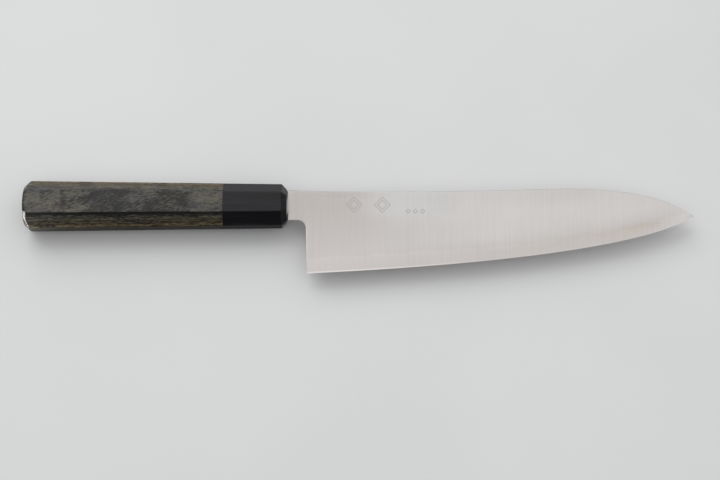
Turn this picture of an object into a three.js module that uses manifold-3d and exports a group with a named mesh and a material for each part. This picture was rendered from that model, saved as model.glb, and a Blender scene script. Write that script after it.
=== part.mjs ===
// Chef knife, 210 mm: a three-layer clad blade on a hidden tang, and an octagonal handle with a black
// ferrule, a body pressed from dyed veneers, and a slotted dowel inside that joins the two.
//
// Millimetres. The knife lies on its side: +X runs from the butt to the tip, +Y from the cutting edge to
// the spine, and +Z is up. While the pieces are made, the origin is where the handle's long axis leaves
// the ferrule's front face. At the end everything moves together, so that the origin is at the centre of
// the whole knife's footprint, at its lowest point.
import * as THREE from "three";
import { mergeVertices } from "three/addons/utils/BufferGeometryUtils.js";
import Module from "manifold-3d";

// --- Blade outline -----------------------------------------------------------------------------------
const SPINE_TOP_AT_FERRULE = [0, 8.85];
const HEEL = [11.2, -37.6];
const TIP = [221.6, -6.0];
const EDGE_HANDLES = [[200.5, -28.35], [216.8, -6.9]];
const SPINE_HIGH_POINT = [140, 9.55];
const SPINE_REAR_HANDLES = [[31.8, 7.1], [110.8, 8.35]];
const SPINE_FRONT_HANDLES = [[145.9, 9.42], [198, 13.5]];
const NECK_UNDERSIDE = -8.4;
const CHOIL_CENTRE = [6.1, -12.4];
const CHOIL_RADIUS = 4;
const MACHI_RADIUS = 1;
const TIP_SETBACK = 0.2;

// --- Blade thickness ---------------------------------------------------------------------------------
const NECK_THICKNESS = 2.9;
const NECK_BLEND_LENGTH = 10;
const SPINE_AT_HEEL = 2.5;
const SPINE_AT_TIP = 1.0;
const BEHIND_EDGE_AT_HEEL = 0.2;
const BEHIND_EDGE_AT_TIP = 0.45;
const APEX_THICKNESS = 0.05;
const GRIND_CONVEXITY = 0.8;
const BEVEL_HEIGHT = 0.8;
const SPINE_EASING = 0.4;
const SPINE_EASED_FRACTION = 0.7;
const CORE_THICKNESS = 0.7;

// --- Tang --------------------------------------------------------------------------------------------
const TANG_LENGTH = 100;
const TANG_HEIGHT = { front: 10.5, rear: 5.5 };
const TANG_THICKNESS = { front: 2.6, rear: 1.8 };
const TANG_ROOT_OVERLAP = 2;

// --- Handle outside ----------------------------------------------------------------------------------
const HANDLE_LENGTH = 142.7;
const FERRULE_LENGTH = 34.5;
const BUTT_SECTION = { height: 26.6, thickness: 23.2, facet: 13.2, flat: 8.0 };
const FRONT_SECTION = { height: 23.2, thickness: 20.2, facet: 10.7, flat: 6.8 };
const FERRULE_CHAMFER = 2.8;
const BUTT_DOME_RADIUS = 11.2;
const BUTT_DOME_RISE = 0.15;
const BUTT_CHAMFER_RUN = 3.4;
const BUTT_CHAMFER_SLOPE = 1.2;

// --- Handle inside -----------------------------------------------------------------------------------
const VENEER_COUNT = 15;
const VENEER_THICKNESS = 1.55;
const BORE_RADIUS = 6.6;
const FERRULE_FRONT_WALL = 7.5;
const BODY_BORE_DEPTH = 77;
const TANG_SLOT = { height: 11.3, thickness: 3.4 };
const DOWEL_RADIUS = 6.3;
const DOWEL_END_GAP = 0.5;
const KERF_THICKNESS = 4.6;
const KERF_END = -104;
const CLEARANCE = 0.3;

// --- Finishes ----------------------------------------------------------------------------------------
const FINISHES = {
  core: { color: 0xc9c6c2, roughness: 0.26, metalness: 1 },
  cladding: { color: 0xc4c0bb, roughness: 0.34, metalness: 1 },
  ferrule: { color: 0x17171a, roughness: 0.3, metalness: 0 },
  dowel: { color: 0xb08a5c, roughness: 0.75, metalness: 0 },
  bedding: { color: 0xb9ad8c, roughness: 0.4, metalness: 0 },
  darkVeneer: { color: 0x2c2a27, roughness: 0.35, metalness: 0 },
  paleVeneer: { color: 0x6d685f, roughness: 0.35, metalness: 0 },
};

const FAR = 400;
const wasm = await Module();
wasm.setup();

// --- Solids: three.js geometry in, three.js geometry out --------------------------------------------

function toSolid(geometry) {
  const bare = new THREE.BufferGeometry();
  bare.setAttribute("position", geometry.getAttribute("position"));
  bare.setIndex(geometry.getIndex());
  const merged = mergeVertices(bare, 1e-5);
  const corners = merged.getIndex().array;
  const triangles = [];
  for (let i = 0; i < corners.length; i += 3) {
    const [a, b, c] = corners.slice(i, i + 3);
    if (a !== b && b !== c && c !== a) triangles.push(a, b, c);
  }
  return new wasm.Manifold(new wasm.Mesh({
    numProp: 3,
    vertProperties: new Float32Array(merged.getAttribute("position").array),
    triVerts: new Uint32Array(triangles),
  }));
}

function toMesh(name, solid, finish) {
  const { vertProperties, triVerts } = solid.getMesh();
  const geometry = new THREE.BufferGeometry();
  geometry.setAttribute("position", new THREE.BufferAttribute(new Float32Array(vertProperties), 3));
  geometry.setIndex(new THREE.BufferAttribute(new Uint32Array(triVerts), 1));
  geometry.computeVertexNormals();
  const mesh = new THREE.Mesh(geometry, new THREE.MeshStandardMaterial(FINISHES[finish]));
  mesh.name = name;
  return mesh;
}

function block(low, high) {
  const size = high.map((value, axis) => value - low[axis]);
  const middle = high.map((value, axis) => (value + low[axis]) / 2);
  return toSolid(new THREE.BoxGeometry(...size).translate(...middle));
}

// A layer across the whole knife between two heights, for cutting pieces along flat planes.
function layer(bottom, top) {
  return block([-FAR, -FAR, bottom], [FAR, FAR, top]);
}

// A round bar along X.
function bar(radius, rear, front) {
  const geometry = new THREE.CylinderGeometry(radius, radius, front - rear, 32);
  return toSolid(geometry.rotateZ(-Math.PI / 2).translate((front + rear) / 2, 0, 0));
}

// A tapered bar of rectangular section along X, with a margin added all round and at its rear end.
function taperedBar(rear, front, height, thickness, margin) {
  const geometry = new THREE.BoxGeometry(front - rear + margin, 1, 1);
  geometry.translate((front + rear - margin) / 2, 0, 0);
  const position = geometry.getAttribute("position");
  for (let i = 0; i < position.count; i += 1) {
    const end = position.getX(i) > rear + margin ? "front" : "rear";
    position.setY(i, Math.sign(position.getY(i)) * (height[end] / 2 + margin));
    position.setZ(i, Math.sign(position.getZ(i)) * (thickness[end] / 2 + margin));
  }
  return toSolid(geometry);
}

// --- Blade -------------------------------------------------------------------------------------------

function bezier(start, handles, end) {
  const points = [start, ...handles, end].map(([x, y]) => new THREE.Vector2(x, y));
  return new THREE.CubicBezierCurve(...points);
}

const edgeCurve = bezier(HEEL, EDGE_HANDLES, TIP);
const spineRear = bezier(SPINE_TOP_AT_FERRULE, SPINE_REAR_HANDLES, SPINE_HIGH_POINT);
const spineFront = bezier(SPINE_HIGH_POINT, SPINE_FRONT_HANDLES, TIP);

// Height of a curve that always runs forwards, found by halving the interval.
function heightAt(curve, x) {
  let low = 0;
  let high = 1;
  for (let step = 0; step < 40; step += 1) {
    const middle = (low + high) / 2;
    if (curve.getPoint(middle).x < x) low = middle;
    else high = middle;
  }
  return curve.getPoint(low).y;
}

// How far the neck's corners are rounded back where they meet the ferrule.
function machiRounding(x) {
  const reach = Math.max(MACHI_RADIUS - x, 0);
  return MACHI_RADIUS - Math.sqrt(MACHI_RADIUS ** 2 - reach ** 2);
}

function spineHeight(x) {
  return heightAt(x < SPINE_HIGH_POINT[0] ? spineRear : spineFront, x) - machiRounding(x);
}

// The blade's lower outline, from the ferrule: neck, rounded choil, back of the heel, then the edge.
function lowerOutline() {
  const neck = [0, 0.13, 0.5, 1, 3].map((part) => part * MACHI_RADIUS);
  const points = neck.map((x) => [x, NECK_UNDERSIDE + machiRounding(x)]);
  for (let turn = 90; turn >= 0; turn -= 15) {
    const angle = THREE.MathUtils.degToRad(turn);
    const x = CHOIL_CENTRE[0] + CHOIL_RADIUS * Math.cos(angle);
    points.push([x, CHOIL_CENTRE[1] + CHOIL_RADIUS * Math.sin(angle)]);
  }
  const [choilX, choilY] = points.at(-1);
  for (const part of [1 / 3, 2 / 3]) {
    const x = THREE.MathUtils.lerp(choilX, HEEL[0], part);
    points.push([x, THREE.MathUtils.lerp(choilY, HEEL[1], part)]);
  }
  const steps = 30;
  for (let step = 0; step < steps; step += 1) {
    const point = edgeCurve.getPoint((step / steps) ** 1.25);
    points.push([point.x, point.y]);
  }
  const last = TIP[0] - TIP_SETBACK;
  points.push([last, heightAt(edgeCurve, last)]);
  return points;
}

// Thickness at a height above the lower outline: a thin bevel, then a gently convex grind to the spine.
function grindThickness(x, above, full) {
  const along = THREE.MathUtils.clamp((x - HEEL[0]) / (TIP[0] - HEEL[0]), 0, 1);
  const spine = THREE.MathUtils.lerp(SPINE_AT_HEEL, SPINE_AT_TIP, along);
  const behindEdge = THREE.MathUtils.lerp(BEHIND_EDGE_AT_HEEL, BEHIND_EDGE_AT_TIP, along);
  const bevel = Math.min(BEVEL_HEIGHT, full / 3);
  if (above < bevel) {
    return THREE.MathUtils.lerp(APEX_THICKNESS, behindEdge, above / bevel);
  }
  const part = (above - bevel) / (full - bevel);
  return THREE.MathUtils.lerp(behindEdge, spine, part ** GRIND_CONVEXITY);
}

// The neck keeps its full thickness from top to bottom and blends into the ground blade.
function bladeThickness(x, y) {
  const edge = x < HEEL[0] ? HEEL[1] : heightAt(edgeCurve, x);
  const spine = spineHeight(x);
  const ground = grindThickness(x, y - edge, spine - edge);
  const eased = y > spine - SPINE_EASING / 2 ? SPINE_EASED_FRACTION : 1;
  const blend = THREE.MathUtils.smoothstep(x, 0, NECK_BLEND_LENGTH);
  return eased * THREE.MathUtils.lerp(NECK_THICKNESS, ground, blend);
}

// A row of the blade's grid as a height between the lower outline and the spine.
function rowHeight(lower, spine, row) {
  const full = spine - lower;
  const bevel = Math.min(BEVEL_HEIGHT, full / 3);
  const easing = Math.min(SPINE_EASING, full / 3);
  const between = [0, 0.06, 0.14, 0.25, 0.4, 0.6, 0.8, 1];
  if (row === 0) return lower;
  if (row > between.length) return spine;
  return lower + bevel + between[row - 1] * (full - bevel - easing);
}

// A flat grid folded into a closed body: columns follow the outline, rows run from edge to spine.
function bladeBody() {
  const outline = lowerOutline();
  const rows = 9;
  const geometry = new THREE.BoxGeometry(1, 1, 1, outline.length - 1, rows, 1);
  const position = geometry.getAttribute("position");
  for (let i = 0; i < position.count; i += 1) {
    const column = Math.round((position.getX(i) + 0.5) * (outline.length - 1));
    const row = Math.round((position.getY(i) + 0.5) * rows);
    const [x, lower] = outline[column];
    const y = rowHeight(lower, spineHeight(x), row);
    const z = Math.sign(position.getZ(i)) * bladeThickness(x, y) / 2;
    position.setXYZ(i, x, y, z);
  }
  return toSolid(geometry);
}

function tang(margin) {
  return taperedBar(-TANG_LENGTH, TANG_ROOT_OVERLAP, TANG_HEIGHT, TANG_THICKNESS, margin);
}

function bladeMeshes() {
  const blade = bladeBody().add(tang(0));
  const half = CORE_THICKNESS / 2;
  return [
    toMesh("blade_core", blade.intersect(layer(-half, half)), "core"),
    toMesh("blade_cladding_front", blade.intersect(layer(half, FAR)), "cladding"),
    toMesh("blade_cladding_back", blade.intersect(layer(-FAR, -half)), "cladding"),
  ];
}

// --- Handle ------------------------------------------------------------------------------------------

// Cross-section of the handle at a distance behind the ferrule's front face.
function handleSection(x) {
  const section = {};
  for (const key of Object.keys(BUTT_SECTION)) {
    section[key] = THREE.MathUtils.lerp(FRONT_SECTION[key], BUTT_SECTION[key], -x / HANDLE_LENGTH);
  }
  return section;
}

// The same octagon moved in by the same distance on every side.
function insetSection(section, inset) {
  const cornerLoss = 2 * inset * Math.tan(Math.PI / 8);
  return {
    height: section.height - 2 * inset,
    thickness: section.thickness - 2 * inset,
    facet: section.facet - cornerLoss,
    flat: section.flat - cornerLoss,
  };
}

// The eight corners in order round +X, as [y, z], starting beside +Y.
function octagonCorners({ height, thickness, facet, flat }) {
  const quarter = [[height / 2, flat / 2], [facet / 2, thickness / 2]];
  const mirrored = quarter.map(([y, z]) => [-y, z]).reverse();
  const upper = [...quarter, ...mirrored];
  return [...upper, ...upper.map(([y, z]) => [-y, -z])];
}

// An eight-sided cylinder whose rings are moved to the given octagons.
function octagonLoft(stations) {
  const rings = stations.length - 1;
  const geometry = new THREE.CylinderGeometry(1, 1, rings, 8, rings);
  const position = geometry.getAttribute("position");
  for (let i = 0; i < position.count; i += 1) {
    const station = stations[Math.round(position.getY(i) + rings / 2)];
    const isCentre = Math.hypot(position.getX(i), position.getZ(i)) < 0.5;
    const turn = Math.round(Math.atan2(position.getX(i), position.getZ(i)) / (Math.PI / 4));
    const corner = octagonCorners(station.section)[(turn + 8) % 8];
    const [y, z] = isCentre ? [0, 0] : corner;
    position.setXYZ(i, station.x, y, z);
  }
  return toSolid(geometry);
}

// The butt is turned: a slight dome, then a conical chamfer that runs out over the eight arrises.
function turnedButt() {
  const coneRadius = BUTT_DOME_RADIUS + BUTT_CHAMFER_RUN;
  const coneEnd = BUTT_DOME_RISE + BUTT_CHAMFER_RUN * BUTT_CHAMFER_SLOPE;
  const profile = [
    [0, 0],
    [BUTT_DOME_RADIUS, BUTT_DOME_RISE],
    [coneRadius, coneEnd],
    [coneRadius, HANDLE_LENGTH],
    [0, HANDLE_LENGTH],
  ].map(([radius, depth]) => new THREE.Vector2(radius, depth));
  const geometry = new THREE.LatheGeometry(profile, 48);
  return toSolid(geometry.rotateZ(-Math.PI / 2).translate(-HANDLE_LENGTH, 0, 0));
}

function handleBody() {
  const joint = -FERRULE_LENGTH;
  const outside = octagonLoft([
    { x: -HANDLE_LENGTH, section: handleSection(-HANDLE_LENGTH) },
    { x: joint, section: handleSection(joint) },
  ]);
  return outside.intersect(turnedButt()).subtract(bar(BORE_RADIUS, joint - BODY_BORE_DEPTH, FAR));
}

// Sheets of veneer, all parallel to the blade. The outermost two are ground down to the facets.
function veneerMeshes() {
  const body = handleBody();
  const half = VENEER_COUNT / 2;
  const meshes = [];
  for (let i = 0; i < VENEER_COUNT; i += 1) {
    const bottom = i === 0 ? -FAR : (i - half) * VENEER_THICKNESS;
    const top = i === VENEER_COUNT - 1 ? FAR : (i + 1 - half) * VENEER_THICKNESS;
    const name = `handle_veneer_${String(i + 1).padStart(2, "0")}`;
    meshes.push(toMesh(name, body.intersect(layer(bottom, top)), i % 2 ? "paleVeneer" : "darkVeneer"));
  }
  return meshes;
}

function ferrule() {
  const front = handleSection(0);
  const shoulder = -FERRULE_CHAMFER;
  const outside = octagonLoft([
    { x: -FERRULE_LENGTH, section: handleSection(-FERRULE_LENGTH) },
    { x: shoulder, section: handleSection(shoulder) },
    { x: 0, section: insetSection(front, FERRULE_CHAMFER) },
  ]);
  const halfHeight = TANG_SLOT.height / 2;
  const halfThickness = TANG_SLOT.thickness / 2;
  const slot = block(
    [-FERRULE_FRONT_WALL - 1, -halfHeight, -halfThickness],
    [1, halfHeight, halfThickness],
  );
  return outside.subtract(bar(BORE_RADIUS, -FAR, -FERRULE_FRONT_WALL)).subtract(slot);
}

// The dowel bridges ferrule and body, and is sawn lengthways to take the tang.
const DOWEL_FRONT = -FERRULE_FRONT_WALL - DOWEL_END_GAP;
const DOWEL_REAR = -FERRULE_LENGTH - BODY_BORE_DEPTH + DOWEL_END_GAP;

function kerf(front) {
  const half = KERF_THICKNESS / 2;
  return block([KERF_END, -FAR, -half], [front, FAR, half]);
}

function dowel() {
  return bar(DOWEL_RADIUS, DOWEL_REAR, DOWEL_FRONT).subtract(kerf(FAR));
}

// Resin that fills the saw cut round the tang.
function tangBedding() {
  return kerf(DOWEL_FRONT).intersect(bar(DOWEL_RADIUS, -FAR, FAR)).subtract(tang(CLEARANCE));
}

// --- Assembly ----------------------------------------------------------------------------------------

const knife = new THREE.Group();
knife.add(
  ...bladeMeshes(),
  toMesh("ferrule", ferrule(), "ferrule"),
  toMesh("handle_dowel", dowel(), "dowel"),
  toMesh("tang_bedding", tangBedding(), "bedding"),
  ...veneerMeshes(),
);

const bounds = new THREE.Box3().setFromObject(knife);
const centre = bounds.getCenter(new THREE.Vector3());
knife.position.set(-centre.x, -centre.y, -bounds.min.z);

const group = new THREE.Group();
group.add(knife);

export default group;
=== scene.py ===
"""A wa-gyuto chef knife on a pale studio floor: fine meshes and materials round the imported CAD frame."""

import math

import bmesh
import bpy
import numpy as np
from mathutils import Matrix, Vector, geometry


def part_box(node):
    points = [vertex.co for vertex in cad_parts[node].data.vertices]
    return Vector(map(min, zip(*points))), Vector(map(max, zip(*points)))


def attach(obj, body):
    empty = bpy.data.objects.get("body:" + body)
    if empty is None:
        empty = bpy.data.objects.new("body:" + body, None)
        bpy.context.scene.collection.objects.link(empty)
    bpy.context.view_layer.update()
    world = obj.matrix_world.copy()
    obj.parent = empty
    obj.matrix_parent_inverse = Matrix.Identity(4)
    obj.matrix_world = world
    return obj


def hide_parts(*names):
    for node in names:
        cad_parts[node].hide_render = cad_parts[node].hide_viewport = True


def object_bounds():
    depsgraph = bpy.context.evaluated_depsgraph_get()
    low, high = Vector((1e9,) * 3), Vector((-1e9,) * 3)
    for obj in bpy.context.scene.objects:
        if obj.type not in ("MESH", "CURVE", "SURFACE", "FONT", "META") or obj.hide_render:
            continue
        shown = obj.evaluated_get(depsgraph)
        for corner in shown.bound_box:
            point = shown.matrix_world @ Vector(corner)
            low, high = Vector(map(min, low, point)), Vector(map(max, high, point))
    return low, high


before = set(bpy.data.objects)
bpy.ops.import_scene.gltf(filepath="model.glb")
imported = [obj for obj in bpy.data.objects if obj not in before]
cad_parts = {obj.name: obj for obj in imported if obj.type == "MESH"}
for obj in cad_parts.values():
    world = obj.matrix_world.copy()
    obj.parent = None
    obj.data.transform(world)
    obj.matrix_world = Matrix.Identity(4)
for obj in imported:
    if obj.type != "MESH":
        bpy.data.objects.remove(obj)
cad_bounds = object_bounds()

# ---------------------------------------------------------------------------------------------------
# Places. Shapes are drawn in millimetres from the point where the handle's axis leaves the ferrule:
# +x towards the tip, +y towards the spine, +z up.
# ---------------------------------------------------------------------------------------------------
MM = 0.001
ferrule_low, ferrule_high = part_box("ferrule")
core_low, core_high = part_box("blade_core")
origin = Vector((
    ferrule_high.x,
    (ferrule_low.y + ferrule_high.y) / 2,
    (ferrule_low.z + ferrule_high.z) / 2,
))
to_frame = Matrix.Translation(origin) @ Matrix.Scale(MM, 4)

# What each light can shine on
groups = {name: bpy.data.collections.new(name) for name in ("blade", "handle", "handle_and_floor")}
bpy.context.scene.collection.children.link(groups["blade"])
bpy.context.scene.collection.children.link(groups["handle_and_floor"])
groups["handle_and_floor"].children.link(groups["handle"])

FINER_TIP = 0.2
TIP_HEIGHT = -6.0
HEEL_SETBACK = 11.2
TIP = np.array([(core_high.x - origin.x) / MM + FINER_TIP, TIP_HEIGHT])
HEEL = np.array([HEEL_SETBACK, (core_low.y - origin.y) / MM])
FERRULE_LENGTH = (ferrule_high.x - ferrule_low.x) / MM
TANG_LENGTH = (origin.x - core_low.x) / MM
HANDLE_LENGTH = (origin.x - cad_bounds[0].x) / MM

# Blade outline and thickness. Pairs run from the ferrule to the tang's end, or from the heel to the tip.
EDGE_HANDLES = [(200.5, -28.35), (216.8, -6.9)]
SPINE_AT_FERRULE = (0, 8.85)
SPINE_REAR_HANDLES = [(31.8, 7.1), (110.8, 8.35)]
SPINE_HIGH_POINT = (140, 9.55)
SPINE_FRONT_HANDLES = [(145.9, 9.42), (198, 13.5)]
NECK_UNDERSIDE = -8.4
CHOIL_CENTRE = (6.1, -12.4)
CHOIL_RADIUS = 4
MACHI_RADIUS = 1
TANG_HALF_HEIGHT = (5.25, 2.75)
TANG_HALF_THICKNESS = (1.3, 0.9)
TANG_SHOULDER = 2.5
TANG_SHOULDER_SLOPE = 0.2
NECK_HALF_THICKNESS = 1.45
NECK_BLEND_LENGTH = 10
SPINE_HALF_THICKNESS = (1.25, 0.5)
BEHIND_EDGE_HALF_THICKNESS = (0.1, 0.225)
APEX_HALF_THICKNESS = 0.02
GRIND_CONVEXITY = 0.8
BEVEL_WIDTH = 0.8
SPINE_EASING = 0.42
CHOIL_EASING = 0.95
EASING_DEPTH = 0.5
EASED_SHARE = 0.8

# Steps between the blade's points
OUTLINE_STEP = 1.2
HEEL_STEP = 1.0
SHOULDER_STEP = 0.5
MACHI_POINTS = 7
CHOIL_POINTS = 16
CURVE_POINTS = 400
EASED_ROWS = (0.04, 0.1, 0.2, 0.32, 0.42, 0.65, 0.95, 1.4)
FIELD_STEP = 2.0
FIELD_TOP = 11
ROW_GAP = {"edge": 0.3, "clad_line": 0.2}
FIELD_GAP = {"outline": 1.5, "clad_line": 0.6}
BLADE_SHARP_DEGREES = 28
MERGE_DISTANCE = 0.001

# Cladding line: how far above the edge the soft steel stops at some places, and the line's waves as size,
# length and shift
CLAD_LINE_HEIGHTS = ((0, 7.6), (80, 7.2), (160, 4.9), (222, 3.0))
CLAD_LINE_WAVES = ((0.45, 23.0, 0.6), (0.3, 9.7, 2.1), (0.18, 4.3, 4.0))
CLAD_LINE_STEP = 0.6
CLAD_LINE_PAST_HEEL = 3
CLAD_LINE_PAST_TIP = 4
CLAD_LINE_START = HEEL[0] - 1.5

# Handle
BUTT_SECTION = {"height": 26.6, "thickness": 23.2, "facet": 13.2, "flat": 8.0}
FRONT_SECTION = {"height": 23.2, "thickness": 20.2, "facet": 10.7, "flat": 6.8}
ARRIS_OFFSETS = (0.0, 0.1, 0.22, 0.4, 0.8)
FACET_POINTS = 12
ARRIS_ROUNDING = 0.25
CHAMFER_ROUNDING = 0.35
BUTT_ROUNDING = 0.25
FERRULE_CHAMFER = 2.8
BORE_RADIUS = 6.6
BODY_BORE_DEPTH = 77
FERRULE_WALL = 7.5
SLOT_HALF_SIZE = (5.65, 1.7)

# Butt, from its middle outwards: the dome's radius and rise, the bend's first radius and its run, and the
# turned chamfer's run and slope
BUTT_DOME = (11.0, 0.15)
BUTT_BEND = (10.75, 0.6)
BUTT_CHAMFER = (4.05, 1.15)
BUTT_DOME_RINGS = (1, 3, 5, 7, 8.5, 9.6)
BUTT_BEND_RINGS = 7
BUTT_CHAMFER_RINGS = 18
BUTT_CLEARANCE = 0.6

# The ferrule's front corner, as places and insets from the octagon's faces
FERRULE_NOSE = ((-0.08, 2.78), (-0.02, 2.9), (0.0, 3.05))

# Veneers, and their waves: size, stretch along x, stretch along y, and shift
VENEER_COUNT = 15
VENEER_THICKNESS = 1.55
VENEER_WAVES = ((0.13, 5.0, 9.0, 0.4), (0.09, 1.9, -7.0, 1.9), (0.05, 0.9, 5.0, 3.3))

# Rings along the handle's meshes
BODY_RINGS = 150
BODY_BORE_RINGS = 12
FERRULE_RINGS = 12
FERRULE_BORE_RINGS = 8
CHAMFER_BEND_RINGS = 5
CHAMFER_RINGS = 8
HANDLE_SHARP_DEGREES = 30
FAR = 1e3
LEAST_FACING = 0.2


def lerp(pair, share):
    return pair[0] + (pair[1] - pair[0]) * share


def smooth_least(a, b, reach):
    """The smaller of two lengths, with the corner between them rounded over a reach."""
    near = np.maximum(reach - np.abs(a - b), 0) / reach
    return np.minimum(a, b) - near * near * reach / 4


def bezier(start, handles, end, count):
    """Points on a cubic curve."""
    t = np.linspace(0, 1, count)[:, None]
    a, b, c, d = (np.array(p, float) for p in (start, *handles, end))
    return (1 - t) ** 3 * a + 3 * (1 - t) ** 2 * t * b + 3 * (1 - t) * t * t * c + t**3 * d


def resample(line, spacing):
    """The same line with even steps."""
    steps = np.hypot(*np.diff(line, axis=0).T)
    along = np.concatenate([[0], np.cumsum(steps)])
    wanted = np.linspace(0, along[-1], max(2, round(along[-1] / spacing) + 1))
    return np.column_stack([np.interp(wanted, along, line[:, axis]) for axis in (0, 1)])


def arc(centre, radius, start, stop, count):
    turn = np.radians(np.linspace(start, stop, count))
    return np.column_stack([centre[0] + radius * np.cos(turn), centre[1] + radius * np.sin(turn)])


def distance_to(points, line):
    """Shortest distance from each point to a chain of straight steps."""
    best = np.full(len(points), np.inf)
    for a, b in zip(line[:-1], line[1:]):
        step = b - a
        share = np.clip(((points - a) @ step) / (step @ step), 0, 1)
        gap = points - a - share[:, None] * step
        best = np.minimum(best, np.hypot(gap[:, 0], gap[:, 1]))
    return best


# ---------------------------------------------------------------------------------------------------
# Making pieces
# ---------------------------------------------------------------------------------------------------
def finish_piece(name, mesh, node, slot, material):
    """A mesh in millimetres becomes a piece that stands for a CAD node and rides on the knife."""
    mesh.transform(to_frame)
    mesh.materials.append(material)
    piece = bpy.data.objects.new(name, mesh)
    groups["blade" if slot.endswith("steel") else "handle"].objects.link(piece)
    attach(piece, "root")
    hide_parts(node)
    return piece


def shade(bm, sharp_degrees):
    """Smooth faces, with the edges past an angle kept sharp."""
    limit = math.radians(sharp_degrees)
    for face in bm.faces:
        face.smooth = True
    for edge in bm.edges:
        if edge.is_manifold and edge.calc_face_angle() > limit:
            edge.smooth = False


def skin(rings, joined):
    """A closed mesh over rings of points. It ends in a point at both ends, or joins into a loop."""
    bm = bmesh.new()
    made = [[bm.verts.new(point) for point in ring] for ring in rings]
    pairs = list(zip(made[:-1], made[1:]))
    if joined:
        pairs.append((made[-1], made[0]))
    for first, second in pairs:
        for i in range(max(len(first), len(second))):
            j = i + 1
            corners = [
                first[i % len(first)],
                first[j % len(first)],
                second[j % len(second)],
                second[i % len(second)],
            ]
            bm.faces.new(list(dict.fromkeys(corners)))
    bmesh.ops.recalc_face_normals(bm, faces=bm.faces)
    return bm


# ---------------------------------------------------------------------------------------------------
# Blade
# ---------------------------------------------------------------------------------------------------
edge_line = resample(bezier(HEEL, EDGE_HANDLES, TIP, CURVE_POINTS), OUTLINE_STEP)
spine_line = resample(np.vstack([
    bezier(SPINE_AT_FERRULE, SPINE_REAR_HANDLES, SPINE_HIGH_POINT, CURVE_POINTS // 2),
    bezier(SPINE_HIGH_POINT, SPINE_FRONT_HANDLES, TIP, CURVE_POINTS // 2)[1:],
]), OUTLINE_STEP)


def edge_y(x):
    return np.interp(x, edge_line[:, 0], edge_line[:, 1])


def spine_y(x):
    return np.interp(x, spine_line[:, 0], spine_line[:, 1])


def clad_y(x):
    """The wavy line on the blade where the cladding stops and the core shows."""
    heights = np.array(CLAD_LINE_HEIGHTS)
    height = np.interp(x, heights[:, 0], heights[:, 1])
    for size, length, shift in CLAD_LINE_WAVES:
        height = height + size * np.sin(math.tau * np.asarray(x) / length + shift)
    return edge_y(x) + height


def half_thickness(x, y, from_edge):
    """Half the blade's thickness, before its edges are eased."""
    along = np.clip((x - HEEL[0]) / (TIP[0] - HEEL[0]), 0, 1)
    spine = lerp(SPINE_HALF_THICKNESS, along)
    behind_edge = lerp(BEHIND_EDGE_HALF_THICKNESS, along)
    full = np.maximum(spine_y(x) - edge_y(x), BEVEL_WIDTH + 0.1)
    share = np.clip((y - edge_y(x) - BEVEL_WIDTH) / (full - BEVEL_WIDTH), 0, 1)
    ground = behind_edge + (spine - behind_edge) * share**GRIND_CONVEXITY
    bevel = APEX_HALF_THICKNESS + (behind_edge - APEX_HALF_THICKNESS) * from_edge / BEVEL_WIDTH
    ground = np.where(from_edge < BEVEL_WIDTH, np.minimum(bevel, ground), ground)
    blend = np.clip(x / NECK_BLEND_LENGTH, 0, 1)
    blend = blend * blend * (3 - 2 * blend)
    blade = NECK_HALF_THICKNESS + (ground - NECK_HALF_THICKNESS) * blend
    tang = lerp(TANG_HALF_THICKNESS, np.clip(-x / TANG_LENGTH, 0, 1))
    shoulder = tang + np.maximum(TANG_SHOULDER + x, 0) * TANG_SHOULDER_SLOPE
    tang = np.minimum(NECK_HALF_THICKNESS, shoulder)
    return np.where(x < 0, tang, blade)


def core_half_thickness(x):
    """Half the hard core's thickness: it reaches the surface along the cladding line."""
    reach = np.clip(x, HEEL[0], TIP[0])
    y = np.minimum(clad_y(reach), spine_y(reach))
    return half_thickness(reach, y, np.full_like(reach, BEVEL_WIDTH + 1.0))


def blade_outline():
    """The blade's outline as an anticlockwise loop, and the parts of it whose corners are eased."""
    top, bottom = SPINE_AT_FERRULE[1], NECK_UNDERSIDE
    front, rear = TANG_HALF_HEIGHT
    over = arc((MACHI_RADIUS, top - MACHI_RADIUS), MACHI_RADIUS, 90, 180, MACHI_POINTS)
    over = np.vstack([over[:-1], resample(np.array([over[-1], (0, front)]), SHOULDER_STEP)])
    under = arc((MACHI_RADIUS, bottom + MACHI_RADIUS), MACHI_RADIUS, 180, 270, MACHI_POINTS)
    under = np.vstack([resample(np.array([(0, -front), under[0]]), SHOULDER_STEP), under[1:]])
    tang = np.array([(-TANG_LENGTH, rear), (-TANG_LENGTH, -rear)])
    choil = arc(CHOIL_CENTRE, CHOIL_RADIUS, 90, 0, CHOIL_POINTS)
    neck = resample(np.array([under[-1], choil[0]]), HEEL_STEP)
    back = resample(np.array([choil[-1], HEEL]), HEEL_STEP)
    spine = spine_line[spine_line[:, 0] > MACHI_RADIUS][::-1]
    upper = np.vstack([spine, over])
    lower = np.vstack([under, neck[1:-1], choil, back[1:]])
    loop = np.vstack([edge_line[:-1], upper, tang, lower[:-1]])
    return loop, upper, lower


def inset_line(line, distance):
    """A line moved to its left, as seen walking along it."""
    step = np.gradient(line, axis=0)
    step /= np.hypot(*step.T)[:, None]
    return line + distance * np.column_stack([-step[:, 1], step[:, 0]])


def eased_rows(lines, clad):
    """Close rows of points inside the stretches of the outline that are eased."""
    rows = []
    for row in EASED_ROWS:
        for line in lines:
            found = inset_line(line, row)
            clear = distance_to(found, line) > 0.97 * row
            clear &= distance_to(found, edge_line) > ROW_GAP["edge"]
            clear &= distance_to(found, clad) > ROW_GAP["clad_line"]
            rows.append(found[clear])
    return rows


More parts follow.
